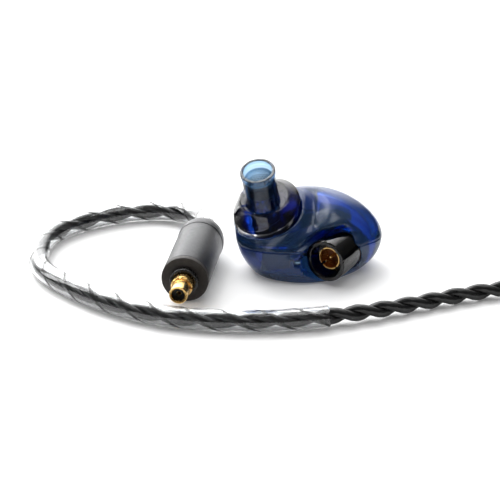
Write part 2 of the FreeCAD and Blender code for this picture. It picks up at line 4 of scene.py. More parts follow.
import bmesh
import bpy
import numpy as np
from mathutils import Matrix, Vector


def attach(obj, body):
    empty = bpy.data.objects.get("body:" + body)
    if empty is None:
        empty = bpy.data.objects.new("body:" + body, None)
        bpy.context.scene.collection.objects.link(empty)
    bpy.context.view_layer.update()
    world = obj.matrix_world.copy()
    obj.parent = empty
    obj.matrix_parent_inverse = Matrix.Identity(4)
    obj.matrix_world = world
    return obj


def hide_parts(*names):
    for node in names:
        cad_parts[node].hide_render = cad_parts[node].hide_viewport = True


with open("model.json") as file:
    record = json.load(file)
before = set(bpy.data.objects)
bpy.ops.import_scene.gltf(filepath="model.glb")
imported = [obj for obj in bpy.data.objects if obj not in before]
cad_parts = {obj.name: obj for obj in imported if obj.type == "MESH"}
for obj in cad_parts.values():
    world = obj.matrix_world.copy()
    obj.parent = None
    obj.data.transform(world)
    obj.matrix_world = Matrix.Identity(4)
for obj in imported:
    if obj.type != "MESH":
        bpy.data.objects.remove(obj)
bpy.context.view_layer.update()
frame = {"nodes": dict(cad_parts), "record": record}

# One in-ear monitor and its detached cable arm on a pale table. Lengths are millimetres until
# a mesh is made, where MM turns them into metres. Shared sizes repeat the part's own.
MM = 0.001

# ---------------------------------------------------------------- sizes shared with the part: earpiece
SEAM_Z = 5.0
DOME_TOP_Z = 11.3
WALL = 1.0
BODY_CENTRE = (0.6, 0.6)
BODY_OUTLINE = [
    (-9.7, -0.8), (-8.6, -4.4), (-5.3, -6.4), (0.8, -6.9), (4.9, -5.8), (8.3, -3.7), (10.6, -1.1),
    (10.6, 1.6), (8.6, 5.1), (4.4, 7.5), (-0.5, 8.3), (-6.1, 7.1), (-9.1, 3.3),
]
FOOT_NARROWING = 0.30
FOOT_SLIMMING = 0.12
FOOT_SHIFT = (-0.2, -0.3)
DOME_POWER = 1.8
DOME_SHIFT = (-0.2, 1.4)

NOZZLE_TIP = (-7.4, -4.45, 16.8)
NOZZLE_AXIS = (-0.13, -0.355, 0.925)
NOZZLE_R = 2.42
NOZZLE_BASE_R = 2.5
TAPER_DEPTH = 5.2
SPIGOT_R = 2.2
SHOULDER_DEPTH = 6.2
NOZZLE_LENGTH = 7.8
LIP_R = 2.52
LIP_LENGTH = 0.8
LIP_SWELL = 0.03
LIP_SLOPE = 0.15
NOZZLE_BORE_R = 1.75
GRILLE_R = 2.04
GRILLE_DEPTH = 1.5
GRILLE_RISE = 0.55
GRILLE_T = 0.15
FILM = 0.02

SHELF = ((-6.45, -1.7, 11.6), (-0.11, -0.42, 0.90), 3.55)
FLARE = ((-6.1, -0.7, 9.85), (-0.35, -0.394, 0.85), 5.15)
SKIRT = ((-5.9, -1.35, 8.3), (-0.189, -0.291, 0.938), 4.85)
NECK_ROOT = ((-5.3, -0.9, 5.2), (0, 0, 1), 4.2)
THROAT_R = 2.1
COLLAR_SLOT = (1.2, 0.35, 1.1)
COLLAR_SLOT_AT = (-9.55, -2.9, 11.1)
VENT_AT = (-1.7, -6.9, 3.3)
VENT_R = 0.45

SOCKET_FACE = (2.25, -6.75, 3.75)
SOCKET_AXIS = (-0.52, -0.85, 0)
BOSS_R = 3.1
BOSS_LENGTH = 7.0
RECESS_R = 2.4
RECESS_DEPTH = 2.4
SOCKET_BORE_R = 1.42
SOCKET_START = 1.2
SOCKET_END = 5.6
SOCKET_SLOT = 0.25
SOCKET_SLOT_DEPTH = 1.1
SPRING_R = 1.65              # what shows of the socket's ring; the boss closes in on it
SCOOP_R = 4.0
SCOOP_END = 4.9
SCOOP_START = -1.0
SCOOP_LIFT = 0.4
SCOOP_SLOPE = 10.0

# ---------------------------------------------------------------- sizes shared with the part: cable arm
PLUG_FACE = (-17.6, -12.0, 3.4)
PLUG_ANGLE = 8.5
PLUG_R = 3.35
PLUG_BORE_R = 2.9
DISC_T = 0.9
HOUSING_END = 12.4
BOOT_R = 3.4
BOOT_STRAIGHT = 0.6
BOOT_END = 16.4
BOOT_PLAY = 0.03
BOOT_RIM = 0.32
BARREL_R = 1.28
BARREL_ROOT_R = 1.42
BARREL_LENGTH = 5.0
BARREL_BORE_R = 0.95
BARREL_DEPTH = 3.4
COLLAR_R = 2.02
COLLAR_T = 0.9
GROOVE_AT = 1.95
GROOVE_W = 0.55
GROOVE_R = 1.12

CORD_R = 1.175
SLEEVE_R = 1.52
SLEEVE_Z = 1.52
FLOOR_Z = 1.22
COIL_CENTRE = (50.5, 7.4)
COIL_R = 12.2
COIL_PITCH = 2.45
COIL_LANES = 4
COIL_LAYERS = 4
COIL_LIFT = 0.5
ROUTE = [
    (-15.54, 1.75, 3.4), (-14.75, 7.0, 3.4), (-16.8, 13.4, 2.2), (-21.7, 16.55, SLEEVE_Z),
    (-28.2, 15.7, SLEEVE_Z), (-34.0, 12.4, SLEEVE_Z), (-38.3, 8.0, SLEEVE_Z), (-39.7, 1.6, SLEEVE_Z),
    (-38.9, -4.6, SLEEVE_Z), (-34.6, -9.9, SLEEVE_Z), (-28.6, -15.2, SLEEVE_Z), (-20.6, -19.5, SLEEVE_Z),
    (-11.6, -21.0, SLEEVE_Z), (-2.0, -20.6, SLEEVE_Z), (7.3, -18.3, SLEEVE_Z), (15.0, -14.9, FLOOR_Z),
    (23.4, -11.4, FLOOR_Z), (32.0, -9.2, FLOOR_Z), (41.0, -8.5, 1.5), (50.5, -8.475, 1.7),
]
SLEEVE_LAST_CORNER = 13
SLEEVE_END = 0.42
LINE_STEPS = 12              # points of the cable's line to search for each corner of the route
TAIL = [
    (50.5, -8.475, 9.0), (58.5, -8.9, 7.6), (66.2, -7.0, 5.2), (71.4, -2.2, 3.4), (72.3, 4.5, 3.0),
]
TIE_T = 0.5
TIE_ANGLE = 24.0
TIE_AT = 118.0
JACK_AT = (72.3, 4.5, 3.0)
JACK_BOOT_END = 7.0
JACK_BOOT_R = (1.75, 2.35)
JACK_HOUSING_R = 3.0
JACK_HOUSING_END = 19.0

# ---------------------------------------------------------------- looks
BODY_SCALE = 6.5             # turns the body's level into roughly millimetres
FLARE_SHARE = 0.42           # the collar is widest this far up from the skirt to the shelf
EDGE = 0.16                  # rounding of the shell's edges
FOOT_EDGE = 0.5              # and round the flat that it lies on
SCOOP_FILLET = 1.0
HOLLOW_FILLET = 0.8
SEAM_EDGE = 0.08
SEAM_GAP = 0.004
FILL_FROM = (1.0, 5.4)       # the shell is solid left of this x and above this z, round the tubes
FILL_STEP = 1.5              # and this much higher up at the back, over the large driver
VALLEY_DEPTH = 1.3           # dip of the dome round the neck
VALLEY_R = 6.6
VALLEY_W = 1.7
VALLEY_BACK = 2.5            # it fades out over the last VALLEY_FADE before this depth
VALLEY_FADE = 4.0
NECK_WALL = 2.1              # the neck is nearly solid round the sound tubes
NECK_FILLET = 2.6            # how softly the neck runs into the dome
SHELL_STEP = 0.17            # grid of the shell meshes
HOLE_PITCH = 0.40            # the grille's holes
HOLE_R = 0.135
HOLE_FREE_RIM = 0.2          # no hole's middle lies this near to the grille's edge
NO_HOLE_NEAR = 9.0           # stands for the distance to a hole where there is none
GRILLE_STEP = 0.045          # grid of the grille's mesh
SPRING_STEP = 0.06           # grid of the socket ring's mesh
SPRING_MOUTH = (0.7, 0.15)   # depth of the ring's coned mouth, and the wall left at its edge
STRAND_START = 0.6           # turn of the pair where it leaves the plug, in radians
STRAP_CORNER = 2.0
SLEEVE_GRIP_R = 1.135        # the sleeve hugs the pair, which shows as dark lines where they touch
TWIST_SLEEVE = 10.4          # length of one twist of the pair inside the clear sleeve
TWIST_BARE = 7.5             # and outside it
STRAND_OFFSET = 0.515        # from the pair's middle to a strand's, a little squeezed together
STRAND_RIDGE = 0.035         # depth of the lines along a strand, as a share of its radius
STRAND_RIDGES = 7


# ---------------------------------------------------------------- mesh helpers
def unit(vector):
    vector = np.array(vector, float)
    return vector / np.linalg.norm(vector)


def across(axis):
    """Two unit vectors at right angles to an axis, the first as near to +X as it can be."""
    axis = unit(axis)
    first = unit(np.eye(3)[0] - axis[0] * axis)
    return first, np.cross(axis, first)


def finish_mesh(name, points, faces, sharp=35.0):
    """A mesh object in metres with merged doubles, outward normals and smooth shading."""
    mesh = bpy.data.meshes.new(name)
    mesh.from_pydata((np.asarray(points) * MM).tolist(), [], [list(map(int, face)) for face in faces])
    work = bmesh.new()
    work.from_mesh(mesh)
    bmesh.ops.remove_doubles(work, verts=work.verts, dist=1e-7)
    bmesh.ops.recalc_face_normals(work, faces=work.faces)
    work.to_mesh(mesh)
    work.free()
    mesh.polygons.foreach_set("use_smooth", [True] * len(mesh.polygons))
    if sharp:
        mesh.set_sharp_from_angle(angle=math.radians(sharp))
    piece = bpy.data.objects.new(name, mesh)
    bpy.context.scene.collection.objects.link(piece)
    return piece


def dress(piece, body, slot, look, *nodes):
    """Give a piece its body, its material and the CAD nodes that it stands for. The slot argument is not
    used.
    """
    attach(piece, body)
    if nodes:
        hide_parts(*nodes)
    piece.data.materials.clear()
    piece.data.materials.append(look)


def bridged(rings):
    """Points and quads of a closed surface through rings of points, joined last to first."""
    count = len(rings[0])
    faces = []
    for ring in range(len(rings)):
        below = ring * count
        above = ((ring + 1) % len(rings)) * count
        for spot in range(count):
            beside = (spot + 1) % count
            faces.append((below + spot, below + beside, above + beside, above + spot))
    return np.concatenate(rings), faces


def rounded(profile, radius, steps=4):
    """The corners of a closed outline, each cut back by radius or less and rounded."""
    corners = np.array(profile, float)
    result = []
    for index, corner in enumerate(corners):
        before = corners[index - 1]
        after = corners[(index + 1) % len(corners)]
        if corner[0] == 0:
            result.append(corner)
            continue
        start = corner + (before - corner) * min(radius / np.linalg.norm(before - corner), 0.45)
        end = corner + (after - corner) * min(radius / np.linalg.norm(after - corner), 0.45)
        for step in range(steps + 1):
            share = step / steps
            result.append((1 - share) ** 2 * start + 2 * share * (1 - share) * corner + share ** 2 * end)
    return result


def lathe(name, profile, at, axis, edge=0.08, segments=96):
    """Turn a closed outline of (radius, height) corners about an axis."""
    side, other = across(axis)
    turn = np.linspace(0, 2 * math.pi, segments, endpoint=False)[:, None]
    wheel = np.cos(turn) * side + np.sin(turn) * other
    rings = [np.array(at) + unit(axis) * height + wheel * radius for radius, height in rounded(profile, edge)]
    points, faces = bridged(rings)
    return finish_mesh(name, points, faces)


def surface_net(name, field, low, high, step, sharp=None):
    """A closed mesh of the surface where a field is zero. The field is negative inside."""
    axes = [np.arange(a, b + step, step) for a, b in zip(low, high)]
    shape = tuple(len(axis) for axis in axes)
    grid = np.stack(np.meshgrid(*axes, indexing="ij"), -1).reshape(-1, 3)
    value = field(grid).reshape(shape)
    inside = value < 0
    cells = tuple(size - 1 for size in shape)
    count = np.zeros(cells, int)
    for corner in np.ndindex(2, 2, 2):
        count += inside[tuple(slice(c, c + n) for c, n in zip(corner, cells))]
    crossed = (count > 0) & (count < 8)
    number = np.full(cells, -1)
    number[crossed] = np.arange(crossed.sum())
    where = np.argwhere(crossed)
    total = np.zeros((len(where), 3))
    weight = np.zeros(len(where))
    for axis in range(3):
        ahead = np.eye(3, dtype=int)[axis]
        for corner in np.ndindex(2, 2, 2):
            if corner[axis]:
                continue
            start = where + corner
            first = value[tuple(start.T)]
            second = value[tuple((start + ahead).T)]
            cut = (first < 0) != (second < 0)
            share = first[cut] / (first[cut] - second[cut])
            total[cut] += start[cut] + share[:, None] * ahead
            weight[cut] += 1
    points = np.array(low) + step * total / weight[:, None]
    for _ in range(4):
        points = pulled(points, field, step)
    faces = []
    for axis in range(3):
        one, two = [other for other in range(3) if other != axis]
        here = np.take(inside, range(shape[axis] - 1), axis)
        there = np.take(inside, range(1, shape[axis]), axis)
        edges = np.argwhere(here != there)
        keep = (edges[:, one] > 0) & (edges[:, two] > 0)
        keep &= (edges[:, one] < shape[one] - 1) & (edges[:, two] < shape[two] - 1)
        edges = edges[keep]
        back_one = np.eye(3, dtype=int)[one]
        back_two = np.eye(3, dtype=int)[two]
        loop = [edges - back_one - back_two, edges - back_two, edges, edges - back_one]
        faces.append(np.stack([number[tuple(spot.T)] for spot in loop], 1))
    return finish_mesh(name, points, np.concatenate(faces), sharp)


def pulled(points, field, step):
    """Move points towards the field's zero surface, along its slope."""
    nudge = 0.02 * step
    value = field(points)
    slope = np.stack([
        (field(points + nudge * way) - field(points - nudge * way)) / (2 * nudge) for way in np.eye(3)
    ], 1)
    size = np.maximum((slope ** 2).sum(1), 0.04)
    move = slope * (value / size)[:, None]
    length = np.linalg.norm(move, axis=1, keepdims=True)
    return points - move * np.minimum(1, 0.4 * step / np.maximum(length, 1e-9))


# ---------------------------------------------------------------- fields
def soft_max(one, two, radius):
    blend = np.clip(0.5 + 0.5 * (one - two) / radius, 0, 1)
    return two + (one - two) * blend + radius * blend * (1 - blend)


def soft_min(one, two, radius):
    return -soft_max(-one, -two, radius)


def periodic_curve(angles, values):
    """A smooth closed curve of value over angle, as a table for np.interp."""
    order = np.argsort(angles)
    knots = angles[order]
    known = values[order]
    size = len(knots)
    gaps = np.diff(np.append(knots, knots[0] + 2 * math.pi))
    rises = np.diff(np.append(known, known[0])) / gaps
    system = np.zeros((size, size))
    wanted = np.zeros(size)
    for index in range(size):
        system[index, index - 1] += gaps[index - 1]
        system[index, index] += 2 * (gaps[index - 1] + gaps[index])
        system[index, (index + 1) % size] += gaps[index]
        wanted[index] = 6 * (rises[index] - rises[index - 1])
    bend = np.linalg.solve(system, wanted)
    table_x = []
    table_y = []
    for index in range(size):
        following = (index + 1) % size
        along = np.linspace(0, gaps[index], 24, endpoint=False)
        left = gaps[index] - along
        curve = (bend[index] * left ** 3 + bend[following] * along ** 3) / (6 * gaps[index])
        curve += (known[index] / gaps[index] - bend[index] * gaps[index] / 6) * left
        curve += (known[following] / gaps[index] - bend[following] * gaps[index] / 6) * along
        table_x.append(knots[index] + along)
        table_y.append(curve)
    return np.concatenate(table_x), np.concatenate(table_y)


OUTLINE_FROM_CENTRE = np.array(BODY_OUTLINE) - np.array(BODY_CENTRE)
RADIUS_TABLE = periodic_curve(
    np.arctan2(OUTLINE_FROM_CENTRE[:, 1], OUTLINE_FROM_CENTRE[:, 0]),
    np.linalg.norm(OUTLINE_FROM_CENTRE, axis=1),
)


def body_field(p):
    """Roughly the distance outside the rounded body, with no neck."""
    drop = np.clip((SEAM_Z - p[:, 2]) / SEAM_Z, 0, 1.2)
    rise = np.clip((p[:, 2] - SEAM_Z) / (DOME_TOP_Z - SEAM_Z), 0, None)
    scale_x = 1 - FOOT_NARROWING * drop ** 2.4
    scale_y = 1 - FOOT_SLIMMING * drop ** 3
    x = (p[:, 0] - BODY_CENTRE[0] - FOOT_SHIFT[0] * drop - DOME_SHIFT[0] * rise) / scale_x
    y = (p[:, 1] - BODY_CENTRE[1] - FOOT_SHIFT[1] * drop - DOME_SHIFT[1] * rise) / scale_y
    radius = np.interp(np.arctan2(y, x), *RADIUS_TABLE, period=2 * math.pi)
    share = np.hypot(x, y) / radius
    level = (share ** DOME_POWER + rise ** DOME_POWER) ** (1 / DOME_POWER) - 1
    return level * BODY_SCALE


def plane_field(p, ring):
    """Distance above a ring's plane."""
    return (p - np.array(ring[0])) @ unit(ring[1])


def neck_field(p):
    """Distance outside the cone that runs up from the body to the collar."""
    root = np.array(NECK_ROOT[0])
    way = np.array(SKIRT[0]) - root
    length = np.linalg.norm(way)
    way = way / length
    along = (p - root) @ way
    out = np.linalg.norm(p - root - along[:, None] * way, axis=1)
    return out - (NECK_ROOT[2] + (SKIRT[2] - NECK_ROOT[2]) * np.clip(along / length, -1, 1.4))


def rod_field(p, at, axis, radius, low, high):
    """Distance outside a round bar."""
    offset = p - np.array(at)
    along = offset @ unit(axis)
    out = np.linalg.norm(offset - along[:, None] * unit(axis), axis=1)
    return np.maximum(out - radius, np.maximum(low - along, along - high))


def valley(p):
    """How far the dome dips in front, in a ring round the neck."""
    out = np.hypot(p[:, 0] - SKIRT[0][0], p[:, 1] - SKIRT[0][1])
    front = np.clip((VALLEY_BACK - p[:, 1]) / VALLEY_FADE, 0, 1) * np.clip((p[:, 2] - SEAM_Z) / 3, 0, 1)
    return VALLEY_DEPTH * front * np.exp(-((out - VALLEY_R) / VALLEY_W) ** 2)


def scoop_field(p):
    """Negative in the hollow that leaves the boss standing clear of the upper shell."""
    back = -unit(SOCKET_AXIS)
    offset = p - np.array(SOCKET_FACE)
    along = offset @ back
    out = np.linalg.norm(offset - along[:, None] * back, axis=1)
    slope = math.radians(SCOOP_SLOPE)
    start = np.array([SOCKET_FACE[0], SOCKET_FACE[1], SEAM_Z + SCOOP_LIFT]) + SCOOP_START * back
    above = (p - start) @ (np.array([0, 0, math.cos(slope)]) - math.sin(slope) * back)
    return soft_max(soft_max(out - SCOOP_R, along - SCOOP_END, 1.0), -above, 0.8)


def shell_field(p):
    """The wall of the body and neck, open under the collar, with its vent and the socket's hole."""
    body = soft_max(body_field(p) + valley(p), -scoop_field(p), SCOOP_FILLET)
    neck = neck_field(p)
    solid = soft_min(body, soft_max(neck, plane_field(p, SKIRT), EDGE), NECK_FILLET)
    hollow = soft_min(body + WALL, neck + NECK_WALL, NECK_FILLET)
    outer = soft_max(solid, -p[:, 2], FOOT_EDGE)
    fill_floor = FILL_FROM[1] + FILL_STEP * np.clip(p[:, 1] / FILL_STEP, 0, 1)
    filled = np.minimum(FILL_FROM[0] - p[:, 0], p[:, 2] - fill_floor)
    inner = soft_max(soft_max(hollow, WALL - p[:, 2], HOLLOW_FILLET), filled, HOLLOW_FILLET)
    collar = collar_field(p) - FILM
    boss = rod_field(p, SOCKET_FACE, SOCKET_AXIS, BOSS_R + FILM, -BOSS_LENGTH, 3)
    vent = rod_field(p, VENT_AT, (0, -1, 0), VENT_R, -2, 1)
    cut = np.maximum(np.maximum(-inner, -collar), np.maximum(-boss, -vent))
    return soft_max(outer, cut, EDGE)


def collar_field(p):
    """The space that the collar fills above the neck."""
    between = plane_field(p, SKIRT)
    above = plane_field(p, SHELF)
    share = np.clip(between / np.maximum(between - above, 0.5), 0, 1)[:, None]
    centre = np.array(SKIRT[0]) * (1 - share) + np.array(SHELF[0]) * share
    out = np.linalg.norm(np.cross(p - centre, unit(SKIRT[1])), axis=1)
    radius = np.interp(share[:, 0], [0, FLARE_SHARE, 1], [SKIRT[2], FLARE[2] + 0.1, SHELF[2]])
    return np.maximum(out - radius, np.maximum(-between, above))


# ---------------------------------------------------------------- materials
def new_look(name, **sockets):
    """A Principled material with the given socket values."""
    look = bpy.data.materials.new(name)
    look.use_nodes = True
    shader = look.node_tree.nodes["Principled BSDF"]
    for key, value in sockets.items():
        socket = shader.inputs[key.replace("_", " ").title().replace("Ior", "IOR")]
        socket.default_value = value
    return look


def node(look, kind, **sockets):
    made = look.node_tree.nodes.new(kind)
    for key, value in sockets.items():
        made.inputs[key.replace("_", " ").title()].default_value = value
    return made


def link(look, start, end):
    look.node_tree.links.new(start, end)


def shader_of(look):
    return look.node_tree.nodes["Principled BSDF"]


def places(look):
    """Object coordinates: metres in the part's own frame."""
    return look.node_tree.nodes.new("ShaderNodeTexCoord").outputs["Object"]


def grain(look, size_mm, detail=3.0, stretch=None):
    """Noise with features of about a size, as its value socket."""
    noise = node(look, "ShaderNodeTexNoise", scale=1 / (size_mm * MM), detail=detail)
    source = places(look)
    if stretch:
        mapping = look.node_tree.nodes.new("ShaderNodeMapping")
        mapping.inputs["Scale"].default_value = stretch
        link(look, source, mapping.inputs["Vector"])
        source = mapping.outputs["Vector"]
    link(look, source, noise.inputs["Vector"])
    return noise.outputs["Fac"]


def ranged(look, value, low, high, start=0.3, end=0.7):
    """Spread a value between two others."""
    ramp = look.node_tree.nodes.new("ShaderNodeMapRange")
    for key, number in (("From Min", start), ("From Max", end), ("To Min", low), ("To Max", high)):
        ramp.inputs[key].default_value = number
    link(look, value, ramp.inputs["Value"])
    return ramp.outputs["Result"]


def tinted(look, value, dark, light):
    """A colour between two, by a value."""
    mix = look.node_tree.nodes.new("ShaderNodeMix")
    mix.data_type = "RGBA"
    mix.inputs["A"].default_value = (*dark, 1)
    mix.inputs["B"].default_value = (*light, 1)
    link(look, value, mix.inputs["Factor"])
    return mix.outputs["Result"]


def bumped(look, value, depth_mm, strength=1.0):
    bump = node(look, "ShaderNodeBump", strength=strength, distance=depth_mm * MM)
    link(look, value, bump.inputs["Height"])
    link(look, bump.outputs["Normal"], shader_of(look).inputs["Normal"])


def set_colour(look, value, dark, light):
    link(look, tinted(look, value, dark, light), shader_of(look).inputs["Base Color"])


def set_roughness(look, value, low, high):
    link(look, ranged(look, value, low, high), shader_of(look).inputs["Roughness"])


def absorbing(look, colour, density):
    volume = look.node_tree.nodes.new("ShaderNodeVolumeAbsorption")
    volume.inputs["Color"].default_value = (*colour, 1)
    volume.inputs["Density"].default_value = density
    link(look, volume.outputs["Volume"], look.node_tree.nodes["Material Output"].inputs["Volume"])


def acrylic(name, colour, density, rough=(0.02, 0.06), shine=0.5, clear=1.0, cast=(1, 1, 1)):
    """Polished cast acrylic: deeply tinted, clear or a little milky, with faint haze and ripple."""
    look = new_look(
        name, transmission_weight=clear, ior=1.49, base_color=(*cast, 1), specular_ior_level=shine,
    )
    set_roughness(look, grain(look, 1.6), *rough)
    bumped(look, grain(look, 2.6, 2.0), 0.012)
    absorbing(look, colour, density)
    return look


def plated_gold():
    look = new_look("polished_gold", metallic=1.0)
    set_colour(look, grain(look, 0.5), (0.80, 0.47, 0.13), (1.0, 0.70, 0.30))
    set_roughness(look, grain(look, 0.15), 0.14, 0.3)
    bumped(look, grain(look, 0.05, 2.0), 0.004)
    return look


def blasted_metal():
    look = new_look("blasted_dark_metal", metallic=0.6, specular_ior_level=0.5)
    set_colour(look, grain(look, 0.16, 4.0), (0.012, 0.0125, 0.0135), (0.055, 0.056, 0.06))
    set_roughness(look, grain(look, 0.3), 0.30, 0.40)
    bumped(look, grain(look, 0.17, 3.0), 0.045)
    return look


def matt_black(name, dark, light, size=0.12):
    look = new_look(name, specular_ior_level=0.4)
    set_colour(look, grain(look, size * 4), dark, light)
    set_roughness(look, grain(look, 0.4), 0.5, 0.68)
    bumped(look, grain(look, size, 4.0), 0.012)
    return look


def cable_jacket():
    look = new_look("cable_jacket", specular_ior_level=0.36, coat_weight=0.1, coat_roughness=0.12)
    set_colour(look, grain(look, 0.8), (0.003, 0.003, 0.003), (0.009, 0.009, 0.0095))
    set_roughness(look, grain(look, 0.35), 0.26, 0.40)
    bumped(look, grain(look, 0.22, 3.0), 0.012)
    return look


def clear_plastic():
    look = new_look("clear_sleeve", transmission_weight=1.0, ior=1.45, base_color=(0.97, 0.98, 0.985, 1))
    set_roughness(look, grain(look, 1.2), 0.0, 0.02)
    bumped(look, grain(look, 1.8, 2.0), 0.006)
    return look


def dark_mesh():
    look = new_look("coated_grille", metallic=0.8)
    set_colour(look, grain(look, 0.2), (0.10, 0.17, 0.25), (0.20, 0.30, 0.40))
    set_roughness(look, grain(look, 0.1), 0.16, 0.26)
    bumped(look, grain(look, 0.05, 2.0), 0.004)
    return look


def steel_can():
    look = new_look("driver_steel", metallic=1.0)
    set_colour(look, grain(look, 0.9), (0.07, 0.072, 0.078), (0.14, 0.144, 0.15))
    set_roughness(look, grain(look, 0.3, 3.0, (1, 1, 8)), 0.25, 0.42)
    bumped(look, grain(look, 0.08, 2.0, (1, 1, 10)), 0.003)
    return look


def moulded(name, dark, light, rough=(0.3, 0.5), **sockets):
    look = new_look(name, **sockets)
    set_colour(look, grain(look, 0.5), dark, light)
    set_roughness(look, grain(look, 0.3), *rough)
    bumped(look, grain(look, 0.12, 3.0), 0.006)
    return look


def woven_strap():
    """Hook-and-loop tape: a fine weave with a fuzzy surface."""
    look = new_look("woven_strap", specular_ior_level=0.3, sheen_weight=0.4, sheen_roughness=0.5)
    weave = node(look, "ShaderNodeTexVoronoi", scale=1 / (0.28 * MM))
    link(look, places(look), weave.inputs["Vector"])
    set_colour(look, weave.outputs["Distance"], (0.012, 0.012, 0.014), (0.035, 0.035, 0.04))
    set_roughness(look, grain(look, 0.4), 0.75, 0.95)
    bumped(look, weave.outputs["Distance"], 0.06)
    return look


SHELL_CLEAR = 0.91           # the rest of the light is scattered back: the shell is slightly milky
SHELL_CAST = (0.10, 0.33, 0.80)
COLLAR_LOOK = acrylic("smoky_collar_acrylic", (0.12, 0.38, 0.66), 1500, (0.06, 0.12), 0.34)
RING_LOOK = moulded("glossy_black_ring", (0.004, 0.004, 0.004), (0.01, 0.01, 0.01), (0.2, 0.32))
LOOKS = {
    "shell_blue": acrylic(
        "blue_acrylic", (0.08, 0.45, 0.72), 1500, (0.12, 0.18), 0.38, SHELL_CLEAR, SHELL_CAST
    ),
    "nozzle_blue": acrylic("smoky_blue_acrylic", (0.12, 0.45, 0.68), 2500, (0.03, 0.08)),
    "boss_blue": acrylic("deep_blue_acrylic", (0.03, 0.15, 0.50), 6500),
    "grille_metal": dark_mesh(),
    "damper": matt_black("woven_damper", (0.02, 0.025, 0.03), (0.06, 0.07, 0.08)),
    "gold": plated_gold(),
    "amber_insulator": moulded("amber_moulding", (0.10, 0.025, 0.008), (0.22, 0.07, 0.02)),
    "driver_can": steel_can(),
    "board": moulded("board_mask", (0.01, 0.04, 0.02), (0.03, 0.09, 0.05)),
    "chip": moulded("chip_ceramic", (0.05, 0.04, 0.03), (0.2, 0.16, 0.12)),
    "wire": moulded("copper_wire", (0.35, 0.14, 0.05), (0.6, 0.28, 0.12), (0.25, 0.4), metallic=1.0),
    "clear_tube": clear_plastic(),
    "plug_grey": blasted_metal(),
    "plug_black": matt_black("charcoal_moulding", (0.018, 0.015, 0.013), (0.04, 0.034, 0.03)),
    "dark_insulator": matt_black("black_insulator", (0.006, 0.006, 0.006), (0.02, 0.02, 0.02)),
    "clear_sleeve": clear_plastic(),
    "cable_black": cable_jacket(),
    "tie_black": woven_strap(),
    "jack_grey": blasted_metal(),
}


def repaint_cad():
    """Every CAD node takes its slot's material."""
    for part in frame["record"]["subparts"]:
        piece = frame["nodes"][part["node"]]
        slots = piece.data.materials
        slots.clear()
        slots.append(LOOKS[part["material_slot"]])


# ---------------------------------------------------------------- earpiece
def shell_pieces():
    low = (-11.6, -9.2, -0.4)
    high = (11.6, 9.2, 12.4)

    def cup_field(p):
        return soft_max(shell_field(p), p[:, 2] - SEAM_Z + SEAM_GAP, SEAM_EDGE)

    def upper_field(p):
        return soft_max(shell_field(p), SEAM_Z + SEAM_GAP - p[:, 2], SEAM_EDGE)

    cup = surface_net("shell_cup", cup_field, low, (high[0], high[1], SEAM_Z + 0.4), SHELL_STEP)
    dress(cup, "earpiece", "shell_blue", LOOKS["shell_blue"], "faceplate_cup")
    upper = surface_net("shell_upper", upper_field, (low[0], low[1], SEAM_Z - 0.4), high, SHELL_STEP)
    dress(upper, "earpiece", "shell_blue", LOOKS["shell_blue"], "upper_shell")


def ring_points(ring, segments):
    centre, normal, radius = ring
    side, other = across(normal)
    turn = np.linspace(0, 2 * math.pi, segments, endpoint=False)[:, None]
    return np.array(centre) + radius * (np.cos(turn) * side + np.sin(turn) * other)


def bore_points(radius, segments, plane=None, depth=0.0):
    """A circle round the nozzle's axis, at a depth or slid along the axis onto a ring's plane."""
    ring = ring_points((NOZZLE_TIP, NOZZLE_AXIS, radius), segments)
    axis = unit(NOZZLE_AXIS)
    if plane is None:
        return ring - axis * depth
    slide = (np.array(plane[0]) - ring) @ unit(plane[1]) / (axis @ unit(plane[1]))
    return ring + slide[:, None] * axis


def mixed(one, two, share):
    return one * (1 - share) + two * share


def collar():
    """A double cone between three tilted circles, with the nozzle's seat and the throat in it."""
    segments = 192
    shelf, flare, skirt = (ring_points(ring, segments) for ring in (SHELF, FLARE, SKIRT))
    mouth = bore_points(NOZZLE_BASE_R + FILM, segments, SHELF)
    seat_end = bore_points(NOZZLE_BASE_R + FILM, segments, depth=SHOULDER_DEPTH)
    step = bore_points(SPIGOT_R + FILM, segments, depth=SHOULDER_DEPTH)
    step_end = bore_points(SPIGOT_R + FILM, segments, depth=NOZZLE_LENGTH)
    throat = bore_points(THROAT_R, segments, depth=NOZZLE_LENGTH)
    throat_end = bore_points(THROAT_R, segments, SKIRT)
    corners = [skirt, flare, shelf, mouth, seat_end, step, step_end, throat, throat_end]
    cutback = [0.3, 0.45, 0.28, 0.06, 0.05, 0.02, 0.02, 0.02, 0.05]
    rings = []
    for index, corner in enumerate(corners):
        before = corners[index - 1]
        after = corners[(index + 1) % len(corners)]
        gap_before = np.linalg.norm(before - corner, axis=1, keepdims=True)
        gap_after = np.linalg.norm(after - corner, axis=1, keepdims=True)
        start = corner + (before - corner) * np.minimum(cutback[index] / gap_before, 0.45)
        end = corner + (after - corner) * np.minimum(cutback[index] / gap_after, 0.45)
        for share in np.linspace(0, 1, 5):
            rings.append(mixed(mixed(start, corner, share), mixed(corner, end, share), share))
        for share in (0.3, 0.7):
            rings.append(mixed(end, after, share))
    points, faces = bridged(rings)
    piece = finish_mesh("collar", points, faces)
    cut_box(piece, COLLAR_SLOT, COLLAR_SLOT_AT)
    dress(piece, "earpiece", "shell_blue", COLLAR_LOOK, "nozzle_collar")


